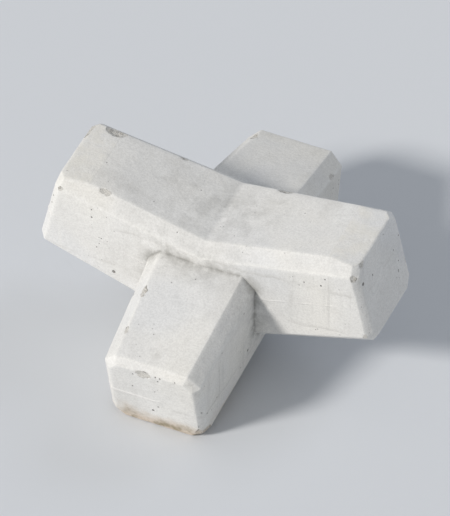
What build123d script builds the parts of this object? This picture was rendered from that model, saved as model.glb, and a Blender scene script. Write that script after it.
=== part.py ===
from build123d import *
from math import atan, cos, degrees, radians, sin, tan
import os

# Driving sizes of the cast unit, in millimetres and degrees
leg_reach = 1330  # centre of the unit to the middle of a leg's end face
leg_lean = 77  # a leg's axis, measured from the upright
root_side = 900  # across the flats of a leg where the legs meet
end_side = 780  # across the flats of a leg at its end face
arris_cut = 100  # chamfer along the long edges of a leg
end_cut = 50  # chamfer round an end face
foot_cut = 45  # how far the lowest corner of a leg is cut back to a level foot
pair_shift = 25  # how far each pair stands off the centre, so its kink stays inside the other pair

# Places that follow from them
lean = radians(leg_lean)
end_corner = leg_reach * cos(lean) + end_side / 2 * sin(lean)  # top corner over the pair's centre
crown = end_corner - foot_cut  # the level cut on that corner
half_height = crown + pair_shift
mitre_overrun = root_side / tan(lean)  # how far a leg runs back past the middle, before its mitre
side_loss = (root_side - end_side) / leg_reach  # width a leg loses for each unit of its length
leg_taper = degrees(atan(side_loss / 2))
overrun_side = root_side + side_loss * mitre_overrun
leg_plane = Plane(origin=(0, 0, 0), x_dir=(0, 1, 0), z_dir=(sin(lean), 0, cos(lean)))

# Pair of legs: one tapered leg, mitred at the middle, mirrored, with its end corners cut level
with BuildPart() as leg_pair:
    with BuildSketch(leg_plane.offset(-mitre_overrun)):
        Rectangle(overrun_side, overrun_side)
    extrude(amount=mitre_overrun + leg_reach, taper=leg_taper)
    chamfer(edges().group_by(SortBy.LENGTH)[-1], length=arris_cut)
    chamfer(faces().sort_by(Axis(leg_plane.origin, leg_plane.z_dir))[-1].edges(), length=end_cut)
    split(bisect_by=Plane.YZ)
    mirror(about=Plane.YZ)
    split(bisect_by=Plane.XY.offset(crown), keep=Keep.BOTTOM)

# Whole casting: one pair raised along X and the other lowered along Y, on its two level feet
with BuildPart() as tetrapod:
    with Locations((0, 0, half_height + pair_shift)):
        add(leg_pair.part)
    with Locations((0, 0, half_height - pair_shift)):
        add(leg_pair.part, rotation=(180, 0, 90))

tetrapod.part.label = "tetrapod"

os.makedirs("parts", exist_ok=True)
export_step(tetrapod.part, "parts/tetrapod.step")

size = tetrapod.part.bounding_box().size
print(f"tetrapod: {size.X:.1f} x {size.Y:.1f} x {size.Z:.1f} mm, {tetrapod.part.volume / 1e9:.3f} m3")
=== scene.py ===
# A square-legged concrete armour unit: the weathered casting, a pale floor and soft light
from math import cos, pi, radians, sin, sqrt, tan

import bpy
import numpy as np
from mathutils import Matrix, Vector


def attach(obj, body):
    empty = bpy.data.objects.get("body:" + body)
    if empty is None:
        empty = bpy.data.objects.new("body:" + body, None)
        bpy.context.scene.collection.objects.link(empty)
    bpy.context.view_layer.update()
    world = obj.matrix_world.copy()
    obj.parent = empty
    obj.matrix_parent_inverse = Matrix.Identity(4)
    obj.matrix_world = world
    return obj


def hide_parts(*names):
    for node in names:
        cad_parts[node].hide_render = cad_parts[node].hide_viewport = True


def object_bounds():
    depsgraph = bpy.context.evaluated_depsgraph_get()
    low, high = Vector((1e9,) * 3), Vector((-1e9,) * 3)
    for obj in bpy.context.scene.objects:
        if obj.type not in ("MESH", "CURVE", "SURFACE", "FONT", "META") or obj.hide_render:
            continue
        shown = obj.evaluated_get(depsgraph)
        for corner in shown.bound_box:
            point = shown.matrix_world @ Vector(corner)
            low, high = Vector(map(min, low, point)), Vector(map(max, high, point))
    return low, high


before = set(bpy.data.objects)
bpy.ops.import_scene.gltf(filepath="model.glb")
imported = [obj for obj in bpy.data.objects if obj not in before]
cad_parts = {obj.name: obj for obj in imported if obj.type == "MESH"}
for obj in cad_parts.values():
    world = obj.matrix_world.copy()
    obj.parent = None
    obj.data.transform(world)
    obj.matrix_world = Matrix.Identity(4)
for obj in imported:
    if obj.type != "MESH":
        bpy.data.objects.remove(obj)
cadLow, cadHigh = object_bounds()
print("frame: box of the solid", [round(high - low, 4) for low, high in zip(cadLow, cadHigh)])

# The cast shape, in metres: the same sizes as the solid, with the rounding that the solid leaves out
casting = {
    "node": "tetrapod",
    "slot": "cast_concrete",
    "legLean": 77,  # degrees, a leg's axis from the upright
    "legReach": 1.330,  # centre of a pair to the middle of its end face
    "rootSide": 0.900,
    "endSide": 0.780,
    "arrisCut": 0.100,
    "endCut": 0.050,
    "pairShift": 0.025,  # how far each pair stands off the centre
    "skinInset": 0.0015,  # how far the skin lies inside the solid
    "edgeRadius": 0.014,  # edges rounded by the form strip and the sea
    "facetSoftness": 0.003,  # how gently the level facets run into the legs
    "facetMargin": 0.001,  # how far round a level facet a point still counts as on it
    "halfFlatSteps": 17,
    "flatGrading": 0.18,  # how strongly the lines across a flat draw together towards its arrises
    "jointOffsets": (0.003, 0.007, 0.014),  # extra grid lines beside the mould joint
    "cutSteps": 12,
    "roundSteps": 3,
    "legSteps": 78,
    "legGrading": 0.12,  # how strongly the rows along a leg draw together towards its end
    "endCutSteps": 5,
}


def hexColor(text):
    # sRGB hex to the linear values of a shader: the usual 2.4 power with its straight foot
    srgb = np.array([int(text[i:i + 2], 16) / 255 for i in (1, 3, 5)])
    linear = np.where(srgb <= 0.04045, srgb / 12.92, ((srgb + 0.055) / 1.055) ** 2.4)
    return (*(float(v) for v in linear), 1.0)


def smoothStep(low, high, value):
    # 0 below low, 1 above high, and 3t^2 - 2t^3 between them
    t = np.clip((value - low) / (high - low), 0, 1)
    return t * t * (3 - 2 * t)


def solidNoise(points, cell, seed, octaves):
    # random values on a lattice of one cell, each point the eased blend of its eight corners;
    # every octave halves the cell and the height, and the sum is brought back to 0..1
    side = 32  # the lattice repeats after so many cells
    octaveShift = 7.3  # cells, so that the octaves don't share their corners
    lattice = np.random.default_rng(seed).random((side, side, side))
    total, weight = np.zeros(len(points)), 0.0
    for octave in range(octaves):
        scaled = points / (cell / 2 ** octave) + octaveShift * octave
        base = np.floor(scaled).astype(int)
        eased = smoothStep(0, 1, scaled - base)
        for corner in np.ndindex(2, 2, 2):
            share = np.prod(np.where(corner, eased, 1 - eased), axis=1)
            i, j, k = ((base + corner) % side).T
            total += share * lattice[i, j, k] / 2 ** octave
        weight += 1 / 2 ** octave
    return total / weight


def flatShares(c):
    # places across a flat, from -1 to 1: u + grading sin(pi u) draws them together towards the arrises,
    # and a few more stand close beside the mould joint at 0
    u = np.arange(1, c["halfFlatSteps"] + 1) / c["halfFlatSteps"]
    graded = u + c["flatGrading"] * np.sin(pi * u)
    flatHalf = (c["rootSide"] + c["endSide"]) / 4 - c["arrisCut"]
    oneSide = np.concatenate([np.array(c["jointOffsets"]) / flatHalf, graded])
    return np.concatenate([-oneSide[::-1], [0.0], oneSide])


def octagonRing(c, half, cut):
    # a square of the given half side, its corners cut at 45 degrees and every edge rounded. half and cut
    # may be columns, one row each; the points run anticlockwise from the middle of a cut
    radius = c["edgeRadius"]
    slide = radius * tan(pi / 8)  # how far a rounding eats into each of its two sides
    flatEnd = half - cut - slide
    turn = np.linspace(0, pi / 4, c["roundSteps"] + 1)
    arcOut = half - radius + radius * np.cos(turn)
    arcUp = flatEnd + radius * np.sin(turn)
    middle = half - cut / 2
    along = np.linspace(0, 1, c["cutSteps"] // 2 + 1)[1:]
    cutOut = arcOut[..., -1:] + (middle - arcOut[..., -1:]) * along
    cutUp = arcUp[..., -1:] + (middle - arcUp[..., -1:]) * along
    endOut = np.concatenate([arcOut[..., 1:], cutOut], axis=-1)
    endUp = np.concatenate([arcUp[..., 1:], cutUp], axis=-1)
    flatUp = flatEnd * flatShares(c)
    flatOut = half + 0 * flatUp
    out = np.concatenate([endOut[..., ::-1], flatOut, endOut[..., :-1]], axis=-1)
    up = np.concatenate([-endUp[..., ::-1], flatUp, endUp[..., :-1]], axis=-1)
    return np.concatenate([out, -up, -out, up], axis=-1), np.concatenate([up, out, -up, -out], axis=-1)


def endOutline(c, reach):
    # the way over the end: along the leg, a rounded 45 degree cut, and onto the end face,
    # as distances along the axis and insets of the ring
    radius = c["edgeRadius"]
    slide = radius * tan(pi / 8)
    turn = np.linspace(0, pi / 4, c["roundSteps"] + 1)
    firstAlong = reach - c["endCut"] - slide + radius * np.sin(turn)
    firstInset = radius * (1 - np.cos(turn))
    lastAlong = reach - radius + radius * np.sin(turn + pi / 4)
    lastInset = c["endCut"] + slide - radius * np.cos(turn + pi / 4)
    share = np.linspace(0, 1, c["endCutSteps"] + 1)[1:-1]
    cutAlong = firstAlong[-1] + (lastAlong[0] - firstAlong[-1]) * share
    cutInset = firstInset[-1] + (lastInset[0] - firstInset[-1]) * share
    return (np.concatenate([firstAlong, cutAlong, lastAlong])[:, None],
            np.concatenate([firstInset, cutInset, lastInset])[:, None])


def legPairRings(c):
    # a rounded octagon carried out along both legs of a kinked pair from the mitre plane x = 0. A point is
    # s a + v y + w b, where a is the leg's axis and b stands square to it, and half = root - loss s.
    # Each line starts where s sin(lean) = w cos(lean), which is the mitre
    lean = radians(c["legLean"])
    reach = c["legReach"] - c["skinInset"]
    loss = (c["rootSide"] - c["endSide"]) / c["legReach"] / 2
    rootHalf = c["rootSide"] / 2 - c["skinInset"]
    # a ring grows in step with its half side, so two rings give all the others
    baseV, baseW = octagonRing(c, np.array([0.0]), c["arrisCut"])
    oneV, oneW = octagonRing(c, np.array([1.0]), c["arrisCut"])
    growV, growW = oneV - baseV, oneW - baseW
    mitre = (growW * rootHalf + baseW) * cos(lean) / (sin(lean) + growW * loss * cos(lean))
    endAlong, endInset = endOutline(c, reach)
    u = np.arange(c["legSteps"])[:, None] / c["legSteps"]
    graded = u + c["legGrading"] * np.sin(pi * u)
    legAlong = mitre + (endAlong[0] - mitre) * graded
    half = rootHalf - loss * legAlong
    endHalf = rootHalf - loss * endAlong - endInset
    endCut = c["arrisCut"] - (2 - sqrt(2)) * endInset
    endV, endW = octagonRing(c, endHalf, endCut)
    s = np.vstack([legAlong, np.broadcast_to(endAlong, endV.shape)])
    v = np.vstack([growV * half + baseV, endV])
    w = np.vstack([growW * half + baseW, endW])
    leg = np.stack([s * sin(lean) - w * cos(lean), v, s * cos(lean) + w * sin(lean)], axis=-1)
    leg[0, :, 0] = 0
    return np.concatenate([leg[:0:-1] * (-1, 1, 1), leg])


def gridFaces(grid):
    # the four-sided faces between neighbours in a grid of point numbers
    corners = [grid[:-1, :-1], grid[:-1, 1:], grid[1:, 1:], grid[1:, :-1]]
    return np.stack(corners, axis=-1).reshape(-1, 4)


def endGrid(ring, ids, firstNew, outward):
    # closes an end with a grid blended between the ring's four quarters, less the blend of its corners.
    # ids are the numbers of the ring's points, and the new points are numbered from firstNew
    n = len(ring) // 4
    low, right = ring[:n + 1], ring[n:2 * n + 1]
    high, left = ring[2 * n:3 * n + 1][::-1], np.vstack([ring[3 * n:], ring[:1]])[::-1]
    share = np.concatenate([[0], np.cumsum(np.linalg.norm(np.diff(low, axis=0), axis=1))])
    share /= share[-1]
    a, b = share[None, :, None], share[:, None, None]
    patch = ((1 - b) * low[None] + b * high[None] + (1 - a) * left[:, None] + a * right[:, None]
             - (1 - a) * (1 - b) * ring[0] - a * (1 - b) * ring[n] - a * b * ring[2 * n]
             - (1 - a) * b * ring[3 * n])
    grid = np.zeros((n + 1, n + 1), int)
    grid[0, :], grid[:, n] = ids[:n + 1], ids[n:2 * n + 1]
    grid[n, :], grid[:, 0] = ids[2 * n:3 * n + 1][::-1], np.append(ids[3 * n:], ids[0])[::-1]
    grid[1:-1, 1:-1] = firstNew + np.arange((n - 1) ** 2).reshape(n - 1, n - 1)
    faces = gridFaces(grid)
    return patch[1:-1, 1:-1].reshape(-1, 3), faces if outward else faces[:, ::-1]


def legPairSurface(c, crown):
    # faces between neighbouring rings, a grid over each end, and the top held down to the level facets:
    # z becomes crown - k log(1 + exp((crown - z) / k))
    rings = legPairRings(c)
    rowCount, ringCount = rings.shape[:2]
    ids = np.arange(rowCount * ringCount).reshape(rowCount, ringCount)
    points, faces, used = [rings.reshape(-1, 3)], [gridFaces(np.hstack([ids, ids[:, :1]]))], ids.size
    for row, outward in ((rowCount - 1, True), (0, False)):
        newPoints, newFaces = endGrid(rings[row], ids[row], used, outward)
        points.append(newPoints)
        faces.append(newFaces)
        used += len(newPoints)
    points, faces = np.vstack(points), np.vstack(faces)
    soft = c["facetSoftness"]
    points[:, 2] = crown - soft * np.logaddexp(0, (crown - points[:, 2]) / soft)
    return points, faces


def meshObject(name, points, faces):
    mesh = bpy.data.meshes.new(name)
    mesh.from_pydata(points, [], faces)
    mesh.update()
    made = bpy.data.objects.new(name, mesh)
    bpy.context.scene.collection.objects.link(made)
    return made


def joinedPairs(c, halfHeight):
    # the raised pair along x, and the same pair turned over along y, joined to one closed skin
    points, faces = legPairSurface(c, halfHeight - c["pairShift"])
    raised = points + (0, 0, halfHeight + c["pairShift"])
    lowered = points[:, [1, 0, 2]] * (1, 1, -1) + (0, 0, halfHeight - c["pairShift"])
    first = meshObject("tetrapodCasting", raised, faces)
    second = meshObject("loweredPair", lowered, faces)
    union = first.modifiers.new("union", "BOOLEAN")
    union.operation, union.solver, union.object = "UNION", "MANIFOLD", second
    evaluated = first.evaluated_get(bpy.context.evaluated_depsgraph_get())
    joined = bpy.data.meshes.new_from_object(evaluated)
    first.modifiers.clear()
    spare, first.data = first.data, joined
    bpy.data.meshes.remove(spare)
    bpy.data.meshes.remove(second.data)
    joined.materials.clear()  # the union leaves an empty slot
    joined.name = "tetrapodCasting"
    return first


# The wear of the skin, in metres
wear = {
    "seed": 41,  # of every random pattern in the mesh
    "panelSwell": 0.0030,  # the form's plates give a little between their ribs
    "panelCell": 0.42,
    "grainDepth": 0.0014,
    "grainCell": 0.060,
    "finHeight": 0.0046,  # grout that ran into the mould joint
    "finWidth": 0.0042,
    "finCell": 0.16,  # length of the pieces that the fin has broken into
    "finLevels": (0.34, 0.66),
    "edgeDepth": 0.0030,  # even wear of every edge
    "edgeReach": 0.016,
    "edgeCell": 0.045,
    "leastEdge": 0.3,  # share of the wear that every edge has
    "floatDepth": 0.0030,  # the hand-floated facets where the mould was filled
    "floatCell": 0.09,
    "turnSoftness": 0.014,  # how softly the way outwards turns over an edge
    # distances to the other pair: nothing moves within the first, and everything past the second
    "meeting": (0.004, 0.05),
    "creviceShadeReach": 0.10,  # how far the painted shade in the inner corner spreads from where the pairs meet
    # how far the narrow painted shade along the line where the pairs meet reaches
    "seamShadeReach": 0.018,
    "sharpAngle": 24,  # degrees
}
# Pieces knocked off, in metres
breaks = {
    # how many, least and greatest depth, bend of the bowl, tilt
    "kinds": {
        "chip": (36, 0.004, 0.015, 0.13, 0.18),
        "corner": (8, 0.008, 0.024, 0.26, 0.08),
    },
    "chipReach": 0.005,  # how near an edge the middle of a chip lies
    "cornerReach": 0.012,
    "leastBend": 0.6,  # share of the bend that every bowl has
    "bendSpread": 0.8,  # share of the bend that chance adds
    "facing": (0.15, 0.45),  # cosine of the turn away from a break where skin stays, and where it moves
    "roughCell": 0.034,
    "roughShare": 1.1,
    "borderReach": 0.012,
}


def planeDistances(points, c, halfHeight, lowered):
    # how far each point lies outside each plane of a pair, by folding it onto one leg: side, top with the
    # level facet, underside, arris cut, end face, and the end cuts of the first four. The second result
    # is w, and the third says where the top is the level facet
    lean = radians(c["legLean"])
    crown = halfHeight - c["pairShift"]
    if lowered:
        along, v, z = np.abs(points[:, 1]), np.abs(points[:, 0]), crown - points[:, 2]
    else:
        along, v, z = np.abs(points[:, 0]), np.abs(points[:, 1]), points[:, 2] - halfHeight - c["pairShift"]
    s = along * sin(lean) + z * cos(lean)
    w = z * sin(lean) - along * cos(lean)
    half = c["rootSide"] / 2 - (c["rootSide"] - c["endSide"]) / c["legReach"] / 2 * s
    side, top, under = v - half, w - half, -w - half
    arris = (v + np.abs(w) - 2 * half + c["arrisCut"]) / sqrt(2)
    end = s - c["legReach"]
    endCuts = [(d + end + c["endCut"]) / sqrt(2) for d in (side, top, under, arris)]
    level = z - crown
    planes = np.stack([side, np.maximum(top, level), under, arris, end, *endCuts])
    return planes, w, level > top - c["facetMargin"]


def softSlope(points, c, halfHeight, lowered, softness):
    # the direction in which k log(sum(exp(d / k))) grows, from differences along the three axes:
    # a plane's normal on the flats, turning slowly over each edge, so that deep chips never fold the skin
    def soft(shift):
        d = planeDistances(points + shift, c, halfHeight, lowered)[0] / softness
        return d.max(axis=0) + np.log(np.exp(d - d.max(axis=0)).sum(axis=0))

    step = 0.002  # metres to each side
    slope = np.stack([soft(axis * step) - soft(-axis * step) for axis in np.eye(3)], axis=-1)
    return slope / np.linalg.norm(slope, axis=1, keepdims=True)


def skinPlaces(points, c, halfHeight):
    # what lies where on the skin, from the planes of the pair that each point belongs to
    raised, raisedW, raisedLevel = planeDistances(points, c, halfHeight, False)
    lowered, loweredW, loweredLevel = planeDistances(points, c, halfHeight, True)
    onRaised = np.abs(raised.max(axis=0)) < np.abs(lowered.max(axis=0))
    planes = np.where(onRaised, raised, lowered)
    nearest, second, third = np.sort(planes, axis=0)[:-4:-1]
    toOther = np.where(onRaised, lowered.max(axis=0), raised.max(axis=0)).clip(0)
    onPlane = planes.argmax(axis=0)
    onLevel = (onPlane == 1) & np.where(onRaised, raisedLevel, loweredLevel)
    return {
        "outward": np.where(onRaised[:, None],
                            softSlope(points, c, halfHeight, False, wear["turnSoftness"]),
                            softSlope(points, c, halfHeight, True, wear["turnSoftness"])),
        "across": np.where(onRaised, raisedW, loweredW),
        "edgeGap": sqrt(2) * (nearest - second),  # distance to an edge, as planes turn by 45 degrees
        "cornerGap": sqrt(2) * (nearest - third),
        "toOther": toOther,
        "free": smoothStep(*wear["meeting"], toOther),  # 0 where the pairs meet and nothing moves
        "onSide": np.isin(onPlane, (0, 4, 5)),  # side, end face and the cut between them
        "onFoot": onLevel & ~onRaised,
        "floated": onLevel & onRaised,
    }


def brokenEdges(points, at, b, seed):
    # pieces knocked off: each break is a shallow bowl under an edge, with n the way the edge faces, a
    # little tilted, and r the distance from the line along n; a point that stands u outside the edge,
    # and so u + depth - r^2 / (2 bend) above the bowl, is moved onto it along n. The places are picked at
    # random among the points on edges and on corners. The second result is how far inside a break each
    # point lay, below 0 where it lay outside
    random = np.random.default_rng(seed)
    rough = 1 + b["roughShare"] * (solidNoise(points, b["roughCell"], seed, 3) - 0.5)
    places = {
        "chip": np.flatnonzero((at["edgeGap"] < b["chipReach"]) & (at["free"] == 1)),
        "corner": np.flatnonzero((at["cornerGap"] < b["cornerReach"]) & (at["free"] == 1)),
    }
    inside = np.full(len(points), -b["borderReach"])
    for kind, (count, leastDepth, mostDepth, bend, tilt) in b["kinds"].items():
        for place in random.choice(places[kind], count):
            depth = leastDepth + (mostDepth - leastDepth) * random.random() ** 2  # most are shallow
            bent = bend * (b["leastBend"] + b["bendSpread"] * random.random())
            n = at["outward"][place] + tilt * random.standard_normal(3)
            n /= np.linalg.norm(n)
            offset = points - points[place]
            u = offset @ n
            r2 = (offset ** 2).sum(axis=1) - u ** 2
            reach = bent * (2 * tilt + sqrt(4 * tilt ** 2 + 2 * depth / bent))
            near = (r2 < reach ** 2) & (np.abs(u) < reach)
            held = smoothStep(*b["facing"], at["outward"] @ n) * near * at["free"]
            excess = u + depth * rough - r2 / (2 * bent)
            points = points - n * (excess.clip(0) * held)[:, None]
            inside = np.maximum(inside, np.where(held > 0, excess, -b["borderReach"]))
    return points, inside.clip(-b["borderReach"], b["borderReach"])


def weather(skin, c, halfHeight):
    # moves the skin by its relief and keeps what the material needs to know about each place
    mesh = skin.data
    points = np.zeros(len(mesh.vertices) * 3)
    normals = np.zeros(len(mesh.vertices) * 3)
    mesh.vertices.foreach_get("co", points)
    mesh.vertex_normals.foreach_get("vector", normals)
    points, normals = points.reshape(-1, 3), normals.reshape(-1, 3)
    at = skinPlaces(points, c, halfHeight)
    seed = wear["seed"]

    swell = wear["panelSwell"] * (solidNoise(points, wear["panelCell"], seed, 2) - 0.5)
    grain = wear["grainDepth"] * (solidNoise(points, wear["grainCell"], seed + 1, 2) - 0.5)
    ragged = smoothStep(*wear["finLevels"], solidNoise(points, wear["finCell"], seed + 2, 3))
    fin = wear["finHeight"] * ragged * np.exp(-(at["across"] / wear["finWidth"]) ** 2) * at["onSide"]
    nearEdge = np.exp(-(at["edgeGap"] / wear["edgeReach"]) ** 2)
    patchy = wear["leastEdge"] + solidNoise(points, wear["edgeCell"], seed + 3, 3)
    worn = wear["edgeDepth"] * nearEdge * patchy
    floated = wear["floatDepth"] * solidNoise(points, wear["floatCell"], seed + 6, 3) * at["floated"]
    height = (swell + grain + fin - wear["panelSwell"] / 2 - worn - floated) * at["free"]
    height = np.where(at["onFoot"], -worn, height)  # the feet stay on the floor
    points = points + at["outward"] * height[:, None]
    points, inside = brokenEdges(points, at, breaks, seed + 10)
    points = points.clip(np.array(cadLow), np.array(cadHigh))
    mesh.vertices.foreach_set("co", points.ravel().astype(np.float32))
    mesh.update()

    kept = {
        "edgeWear": nearEdge,
        "broken": 0.5 + 0.5 * inside / breaks["borderReach"],
        # painted shade: the next two are 1 where the pairs meet and fall away with the distance to the
        # other pair
        "creviceShade": np.exp(-at["toOther"] / wear["creviceShadeReach"]),
        "seamShade": np.exp(-at["toOther"] / wear["seamShadeReach"]),
        "upward": normals[:, 2] * 0.5 + 0.5,
        "floated": at["floated"].astype(float),
    }
    for name, values in kept.items():
        mesh.attributes.new(name, "FLOAT", "POINT").data.foreach_set("value", values.astype(np.float32))
    mesh.shade_smooth()
    mesh.set_sharp_from_angle(angle=radians(wear["sharpAngle"]))


# Mass concrete cast against steel plates and bleached by sun and salt: a matt, near-white grey skin,
# clouded where the paste settled, with air holes, rain streaks, pale worn edges, breaks that show the
# crushed stone, and a stained foot. Painted shade darkens the air holes and the inner corner where
# the pairs meet
concrete = {
    "ior": 1.5,
    "specular": 0.35,
    "colors": {
        "pale": "#ECEBE8",
        "grey": "#E0DFDC",
        "cream": "#E6E2D7",
        "cool": "#DCDEE1",
        "rim": "#ECEBE7",
        "sand": "#DDDAD3",
        "stoneDark": "#A5A29C",
        "stonePale": "#CBC5B9",
        # the colour of the painted shade in the inner corner where the pairs meet
        "cornerShade": "#989792",
        "streak": "#C4C2BD",
        # the colour of the painted shade inside the air holes
        "shadedHole": "#6E6B66",
        "ochre": "#B48D52",
        "weed": "#716844",
    },
    "plainGrain": 0.55,  # grain of the patterns that state none
    # cloudy patterns: their size in metres, detail and grain, and for some the shift and stretch of the
    # place, the bend, the levels between which the pattern is eased, and the values that it has at them
    "patterns": {
        # clouds of paste, smaller patches, a fine mottle, rinsed places, and a warm and a cool cast
        "clouds": {"size": 0.55, "detail": 6, "levels": (0.34, 0.66)},
        "patches": {"size": 0.14, "detail": 7, "grain": 0.66, "levels": (0.44, 0.70)},
        "mottle": {"size": 0.035, "detail": 4, "grain": 0.6, "levels": (0.45, 0.80)},
        "rinsed": {"size": 0.26, "detail": 7, "grain": 0.6, "shift": (9, 4, 1), "levels": (0.52, 0.72)},
        "warmth": {"size": 1.1, "detail": 2, "levels": (0.48, 0.68)},
        "coolness": {"size": 0.9, "detail": 2, "shift": (3.1, 1.7, 5.2), "levels": (0.48, 0.68)},
        # real sand is 1 to 4 mm; drawn coarser so that it shows
        "sandGrains": {"size": 0.014, "detail": 6, "grain": 0.8, "levels": (0.38, 0.62),
                       "values": (0.90, 1.03)},
        # how matt the skin is: a little tighter where the form left it smooth
        "roughness": {"size": 0.07, "detail": 4, "levels": (0.3, 0.7), "values": (0.80, 0.94)},
        # how the lines of the pour wave, and where they show
        "pourWaves": {"size": 0.45, "detail": 4},
        "pourPlaces": {"size": 0.4, "detail": 3, "shift": (2, 8, 4), "levels": (0.45, 0.70),
                       "values": (0, 0.45)},
        # rain streaks 55 mm wide and 0.8 m long, the broader pattern that groups them, and streaks of salt
        "streaks": {"size": 0.055, "detail": 5, "grain": 0.6, "stretch": (1, 1, 0.055 / 0.80),
                    "bend": 0.25, "levels": (0.48, 0.75)},
        "streakPlaces": {"size": 0.35, "detail": 3, "shift": (1.3, 4.1, 0.4), "stretch": (1, 1, 0.4),
                         "levels": (0.42, 0.65)},
        "salt": {"size": 0.088, "detail": 4, "grain": 0.6, "shift": (7, 2, 0), "stretch": (1, 1, 0.08),
                 "bend": 0.25, "levels": (0.58, 0.80)},
        # where edges are bleached, floated facets creamy, the painted shade in the inner corner and along
        # the meeting line strong, air holes many and feet weedy
        "edgePlaces": {"size": 0.09, "detail": 4, "levels": (0.30, 0.65), "values": (0.1, 0.75)},
        "floatPlaces": {"size": 0.12, "detail": 5, "levels": (0.35, 0.65), "values": (0, 0.40)},
        "creviceShadePlaces": {"size": 0.10, "detail": 6, "grain": 0.65, "levels": (0.36, 0.68)},
        "seamShadePlaces": {"size": 0.10, "detail": 3, "levels": (0.28, 0.66), "values": (0.25, 0.80)},
        "holePlaces": {"size": 0.32, "detail": 3, "shift": (5, 9, 2), "levels": (0.36, 0.56)},
        "weedPlaces": {"size": 0.08, "detail": 4, "levels": (0.42, 0.66), "values": (0, 0.65)},
        # how ragged the border of a break is, and how the tide line waves
        "breakWaves": {"size": 0.030, "detail": 6, "grain": 0.7},
        "tideWaves": {"size": 0.30, "detail": 6, "grain": 0.6},
        # relief too fine for the mesh
        "fineRelief": {"size": 0.022, "detail": 5, "grain": 0.6},
        "coarseRelief": {"size": 0.085, "detail": 4},
        "floatRelief": {"size": 0.040, "detail": 7, "grain": 0.72},
        "breakRelief": {"size": 0.050, "detail": 8, "grain": 0.75},
    },
    # how the tilt of a face counts: the levels of upward, which is 0.5 on an upright face and 1 on one
    # that looks up, and the values at them
    "tilts": {
        "steep": (0.60, 0.90, 1.0, 0.0),
        "open": (0.55, 0.95, 0.25, 1.0),
        "holeTilt": (0.60, 0.90, 1.0, 0.55),
    },
    # how far a noise moves the border of a break, and the levels of their sum that sharpen it
    "break": {"waviness": 0.9, "levels": (0.97, 1.08)},
    # thickness of a layer and waviness in metres; where its line starts and fades, in shares of a layer
    "pour": {"layer": 0.37, "waviness": 0.16, "start": (0.0, 0.02), "fade": (0.02, 0.12)},
    # crushed stone of 20 to 40 mm; the share of mortar, and how far a stone fills its cell
    "stone": {"size": 0.034, "bend": 0.020, "mortar": (0.40, 0.44), "fill": (0.34, 0.46), "strength": 0.75},
    # air holes up to 16 and 31 mm wide: the spacing in metres, the least random number that makes a hole,
    # and the radius of the widest as a share of the spacing
    "holes": {"kinds": ((0.040, 0.30, 0.20), (0.105, 0.62, 0.15)), "rarity": 2.0, "border": 0.05},
    # metres: how far the tide line waves, and the heights over it between which the stain fades out
    "tide": {"waviness": 0.34, "levels": (-0.16, 0.01)},
    # coats of colour over the clouds, from the first to the last: colour, strength, masks to multiply.
    # A mask is a pattern, a tilt, an attribute of the skin or what a function below makes of them, and the
    # fracture's colour is made there too
    "coats": (
        ("grey", 0.55, ("patches",)),
        ("streak", 0.22, ("mottle",)),
        ("streak", 0.38, ("rinsed", "open")),
        ("cream", 0.35, ("warmth",)),
        ("cool", 0.35, ("coolness",)),
        ("streak", 1.0, ("pourLines", "steep", "pourPlaces")),
        ("streak", 0.60, ("streaks", "steep", "streakPlaces")),
        ("rim", 0.55, ("salt", "steep")),
        ("rim", 1.0, ("edgeWear", "edgePlaces")),
        ("fracture", 0.85, ("broken",)),
    ),
    # and the same over the grains of sand
    "stainsAndShade": (
        ("cream", 1.0, ("floated", "floatPlaces")),
        # painted shade in the inner corner where the pairs meet: a wide fall-off, then a narrow line along
        # the meeting
        ("cornerShade", 0.62, ("creviceShade", "creviceShadePlaces")),
        ("cornerShade", 1.0, ("seamShade", "seamShadePlaces")),
        # painted shade inside the air holes
        ("shadedHole", 0.80, ("holes",)),
        ("ochre", 0.42, ("tide",)),
        ("weed", 1.0, ("tide", "tide", "weedPlaces")),
    ),
    # height in metres and masks to multiply
    "relief": (
        (0.0020, ("fineRelief",)),
        (0.0040, ("coarseRelief",)),
        (0.0035, ("floatRelief", "floated")),
        (0.022, ("breakRelief", "broken")),
        (0.005, ("stones", "broken")),
        (-0.009, ("broken",)),
        (-0.009, ("holes",)),
    ),
}
# settings that many nodes share. A Mix of colours takes its factor at socket 0 and the colours at 6 and 7,
# and gives the result at 2; a Mix of vectors has them at 0, 4, 5 and 1
smoothRange = {"interpolation_type": "SMOOTHSTEP"}
colorMix = {"data_type": "RGBA"}


def addNode(tree, kind, inputs=(), output=0, **settings):
    # one node with its settings and links, and the output that is passed on. inputs come in the order of
    # the sockets, or by a socket's name or number, and each is a value or another node's output
    node = tree.nodes.new("ShaderNode" + kind)
    for name, value in settings.items():
        setattr(node, name, value)
    for socket, value in inputs.items() if isinstance(inputs, dict) else enumerate(inputs):
        if isinstance(value, bpy.types.NodeSocket):
            tree.links.new(value, node.inputs[socket])
        else:
            node.inputs[socket].default_value = value
    return node.outputs[output]


def newMaterial(name):
    material = bpy.data.materials.new(name)
    material.use_nodes = True
    return material, material.node_tree, material.node_tree.nodes["Principled BSDF"]


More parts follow.
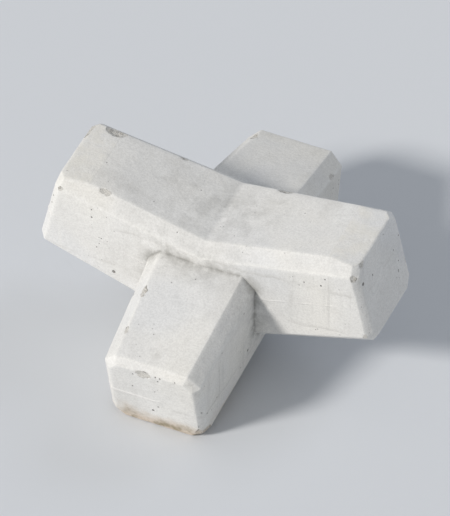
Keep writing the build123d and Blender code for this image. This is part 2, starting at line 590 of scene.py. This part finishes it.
def concreteMasks(tree, place, look):
    # by their names, a noise of real size for each pattern, the skin's attributes, and what follows from
    # its tilt
    masks = {}
    for name, p in look["patterns"].items():
        vector = place
        if "shift" in p or "stretch" in p:
            vector = addNode(tree, "Mapping", {
                "Vector": place, "Location": p.get("shift", (0, 0, 0)),
                "Scale": p.get("stretch", (1, 1, 1))})
        masks[name] = addNode(tree, "TexNoise", {
            "Vector": vector, "Scale": 1 / p["size"], "Detail": p["detail"],
            "Roughness": p.get("grain", look["plainGrain"]), "Distortion": p.get("bend", 0.0)})
        if "levels" in p:
            values = p.get("values", (0, 1))
            masks[name] = addNode(tree, "MapRange", (masks[name], *p["levels"], *values), **smoothRange)
    # creviceShade and seamShade carry painted shade for the inner corner
    for name in ("edgeWear", "broken", "creviceShade", "seamShade", "upward", "floated"):
        masks[name] = addNode(tree, "Attribute", output="Fac", attribute_name=name)
    for name, levels in look["tilts"].items():
        masks[name] = addNode(tree, "MapRange", (masks["upward"], *levels), **smoothRange)
    return masks


def raggedBreaks(tree, masks, look):
    # the smooth border of each break, moved in and out by a noise and made sharp
    moved = (masks["breakWaves"], look["waviness"], masks["broken"])
    border = addNode(tree, "Math", moved, operation="MULTIPLY_ADD")
    return addNode(tree, "MapRange", (border, *look["levels"]), **smoothRange)


def pourLines(tree, height, masks, look):
    # where one layer of the pour stopped and the next began: the height, made wavy, is counted in layers,
    # and at the foot of each one a line starts sharply and fades upwards
    wavy = addNode(tree, "Math", (masks["pourWaves"], look["waviness"], height), operation="MULTIPLY_ADD")
    layers = addNode(tree, "Math", (wavy, look["layer"]), operation="DIVIDE")
    share = addNode(tree, "Math", (layers,), operation="FRACT")
    start = addNode(tree, "MapRange", (share, *look["start"]), **smoothRange)
    fade = addNode(tree, "MapRange", (share, *look["fade"], 1.0, 0.0), **smoothRange)
    return addNode(tree, "Math", (start, fade), operation="MULTIPLY")


def crushedStone(tree, place, paints, look):
    # cells as large as the stones, a little bent, each with random numbers: by one it is a stone or
    # mortar, by another its tone. The results are where the stones are, and the colour of a broken face
    waves = addNode(tree, "TexNoise", {"Vector": place, "Scale": 1 / look["size"], "Detail": 2}, "Color")
    bent = addNode(tree, "Mix", {0: look["bend"], 4: place, 5: waves}, 1, data_type="VECTOR")
    distance = addNode(tree, "TexVoronoi", {"Vector": bent, "Scale": 1 / look["size"]}, "Distance")
    number = addNode(tree, "SeparateColor", (distance.node.outputs["Color"],)).node.outputs
    isStone = addNode(tree, "MapRange", (number["Blue"], *look["mortar"]), **smoothRange)
    within = addNode(tree, "MapRange", (distance, *look["fill"], 1.0, 0.0), **smoothRange)
    stones = addNode(tree, "Math", (isStone, within), operation="MULTIPLY")
    tones = {0: number["Red"], 6: paints["stoneDark"], 7: paints["stonePale"]}
    tone = addNode(tree, "Mix", tones, 2, **colorMix)
    strength = addNode(tree, "Math", (stones, look["strength"]), operation="MULTIPLY")
    return stones, addNode(tree, "Mix", {0: strength, 6: paints["sand"], 7: tone}, 2, **colorMix)


def airHoles(tree, place, masks, look):
    # bubbles that stood against the form: cells with a random number each, and the higher the number,
    # the wider the hole. They keep to clusters and are fewer on the faces that look up
    cluster = addNode(tree, "Math", (masks["holePlaces"], masks["holeTilt"]), operation="MULTIPLY")
    found = 0.0
    for spacing, least, widest in look["kinds"]:
        distance = addNode(tree, "TexVoronoi", {"Vector": place, "Scale": 1 / spacing}, "Distance")
        number = addNode(tree, "SeparateColor", (distance.node.outputs["Color"],), "Green")
        number = addNode(tree, "Math", (number, look["rarity"]), operation="POWER")
        widths = (number, least ** look["rarity"], 1.0, 0.0, widest)
        radius = addNode(tree, "MapRange", widths, **smoothRange)
        radius = addNode(tree, "Math", (radius, cluster), operation="MULTIPLY")
        past = addNode(tree, "Math", (distance, radius), operation="SUBTRACT")
        # the material sinks each hole with its bump and darkens it with painted shade
        shadedHole = addNode(tree, "MapRange", (past, -look["border"], 0.0, 1.0, 0.0), **smoothRange)
        found = addNode(tree, "Math", (shadedHole, found), operation="MAXIMUM")
    return found


def tideStain(tree, height, masks, look):
    # the lowest of the feet, up to a line that waves
    line = addNode(tree, "Math", (masks["tideWaves"], -look["waviness"], height), operation="MULTIPLY_ADD")
    return addNode(tree, "MapRange", (line, *look["levels"], 1.0, 0.0), **smoothRange)


def addCoats(tree, color, coats, paints, masks):
    # each coat over the last, as thick as its strength times its masks
    for paint, share, names in coats:
        for name in names:
            share = addNode(tree, "Math", (share, masks[name]), operation="MULTIPLY")
        color = addNode(tree, "Mix", {0: share, 6: color, 7: paints[paint]}, 2, **colorMix)
    return color


def concreteMaterial(look):
    material, tree, shader = newMaterial("cast concrete, steel-formed and sun-bleached")
    place = addNode(tree, "TexCoord", output="Object")
    height = addNode(tree, "SeparateXYZ", (place,), "Z")
    paints = {name: hexColor(text) for name, text in look["colors"].items()}
    masks = concreteMasks(tree, place, look)
    masks["broken"] = raggedBreaks(tree, masks, look["break"])
    masks["pourLines"] = pourLines(tree, height, masks, look["pour"])
    masks["stones"], paints["fracture"] = crushedStone(tree, place, paints, look["stone"])
    masks["holes"] = airHoles(tree, place, masks, look["holes"])
    masks["tide"] = tideStain(tree, height, masks, look["tide"])

    color = addNode(tree, "Mix", {0: masks["clouds"], 6: paints["grey"], 7: paints["pale"]}, 2, **colorMix)
    color = addCoats(tree, color, look["coats"], paints, masks)
    grains = addNode(tree, "CombineColor", (masks["sandGrains"],) * 3)
    color = addNode(tree, "Mix", {0: 1.0, 6: color, 7: grains}, 2, blend_type="MULTIPLY", **colorMix)
    # real stains of the floated facets and the tide, and painted shade in the inner corner and the air
    # holes
    color = addCoats(tree, color, look["stainsAndShade"], paints, masks)
    tree.links.new(color, shader.inputs["Base Color"])
    tree.links.new(masks["roughness"], shader.inputs["Roughness"])
    shader.inputs["IOR"].default_value = look["ior"]
    shader.inputs["Specular IOR Level"].default_value = look["specular"]

    relief = 0.0
    for part, names in look["relief"]:
        for name in names:
            part = addNode(tree, "Math", (part, masks[name]), operation="MULTIPLY")
        relief = addNode(tree, "Math", (relief, part), operation="ADD")
    bump = addNode(tree, "Bump", {"Height": relief, "Distance": 1.0, "Strength": 1.0})
    tree.links.new(bump, shader.inputs["Normal"])
    return material


# The studio: floor, background, lamps and camera
studio = {
    "floor": "#D9DCE0",
    "floorSize": 90.0,
    "floorRoughness": 0.9,
    "floorSpecular": 0.1,
    "background": "#CBCED3",
    "skyColor": "#EDF1F6",
    "skyStrength": 0.42,
    "lampDistance": 12.0,  # a sun lamp shines the same from anywhere
    "viewAzimuth": 24,  # degrees
    "viewElevation": 44,
    "viewDistance": 57.0,  # as far off as in the photo, so the unit shows almost no perspective
    "viewWidth": 3.36,  # metres across the picture, at the unit
    "sensorWidth": 36.0,  # millimetres
    "clipEnd": 200.0,
    "imageSize": (450, 516),
}
lamps = {
    # azimuth, elevation and width of the light in degrees, share of full light on a face turned to it,
    # and colour
    "keyLamp": (-38, 32, 11, 0.80, "#FFFBF6"),
    "rimLamp": (150, 38, 28, 0.13, "#E9F0FF"),
}


def viewDirection(azimuth, elevation):
    # the way from the unit to a lamp or camera: azimuth 0 stands at -y and turns towards +x
    a, e = radians(azimuth), radians(elevation)
    return Vector((sin(a) * cos(e), -cos(a) * cos(e), sin(e)))


def aimed(made, place, target):
    # puts a lamp or camera at its place and turns its -z axis to the target
    bpy.context.scene.collection.objects.link(made)
    made.location = place
    made.rotation_mode = "QUATERNION"
    made.rotation_quaternion = (target - place).to_track_quat("-Z", "Y")
    return made


def addFloor(s):
    half = s["floorSize"] / 2
    corners = [(-half, -half, 0), (half, -half, 0), (half, half, 0), (-half, half, 0)]
    floor = meshObject("floor", corners, [(0, 1, 2, 3)])
    material, tree, shader = newMaterial("painted studio floor")
    shader.inputs["Base Color"].default_value = hexColor(s["floor"])
    shader.inputs["Roughness"].default_value = s["floorRoughness"]
    shader.inputs["Specular IOR Level"].default_value = s["floorSpecular"]
    # the floor lets a camera under it look up at the unit
    backside = addNode(tree, "NewGeometry", output="Backfacing")
    cameraRay = addNode(tree, "LightPath", output="Is Camera Ray")
    under = addNode(tree, "Math", (backside, cameraRay), operation="MULTIPLY")
    clear = addNode(tree, "BsdfTransparent")
    mixed = addNode(tree, "MixShader", (under, shader.outputs[0], clear))
    tree.links.new(mixed, tree.nodes["Material Output"].inputs["Surface"])
    floor.data.materials.append(material)


def addWorld(s):
    # an even sky lights the unit; the camera and reflections see a plain pale background instead
    world = bpy.data.worlds.new("studio")
    world.use_nodes = True
    bpy.context.scene.world = world
    tree = world.node_tree
    sky = tree.nodes["Background"]
    sky.inputs["Color"].default_value = hexColor(s["skyColor"])
    sky.inputs["Strength"].default_value = s["skyStrength"]
    seen = addNode(tree, "Background", {"Color": hexColor(s["background"]), "Strength": 1.0})
    rays = addNode(tree, "LightPath").node.outputs
    direct = rays["Is Camera Ray"]
    for ray in ("Is Glossy Ray", "Is Transmission Ray"):
        direct = addNode(tree, "Math", (direct, rays[ray]), operation="MAXIMUM")
    mixed = addNode(tree, "MixShader", (direct, sky.outputs[0], seen))
    tree.links.new(mixed, tree.nodes["World Output"].inputs["Surface"])


def addLamps(table, s, target):
    # lamps as wide as large softboxes and too far off to leave a pool on the floor; full light is pi
    for name, (azimuth, elevation, width, share, color) in table.items():
        lamp = bpy.data.lights.new(name, "SUN")
        lamp.angle = radians(width)
        lamp.energy = share * pi
        lamp.color = hexColor(color)[:3]
        place = target + viewDirection(azimuth, elevation) * s["lampDistance"]
        aimed(bpy.data.objects.new(name, lamp), place, target)


def addCamera(s, target):
    camera = bpy.data.cameras.new("camera")
    wide, tall = s["imageSize"]
    camera.sensor_width = s["sensorWidth"]
    camera.lens = camera.sensor_width * s["viewDistance"] / (s["viewWidth"] * tall / wide)
    camera.clip_end = s["clipEnd"]
    place = target + viewDirection(s["viewAzimuth"], s["viewElevation"]) * s["viewDistance"]
    bpy.context.scene.camera = aimed(bpy.data.objects.new("camera", camera), place, target)


halfHeight = (cadHigh.z - cadLow.z) / 2
unit = joinedPairs(casting, halfHeight)
print("casting: joined to", len(unit.data.polygons), "faces")
weather(unit, casting, halfHeight)
unit.data.materials.append(concreteMaterial(concrete))
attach(unit, "root")
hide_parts(casting["node"])
print("casting: relief and concrete done")

middle = Vector((0, 0, halfHeight))
addFloor(studio)
addWorld(studio)
addLamps(lamps, studio, middle)
addCamera(studio, middle)
bpy.context.scene.view_settings.view_transform = "Standard"
print("studio: floor, sky, lamps and camera stand")
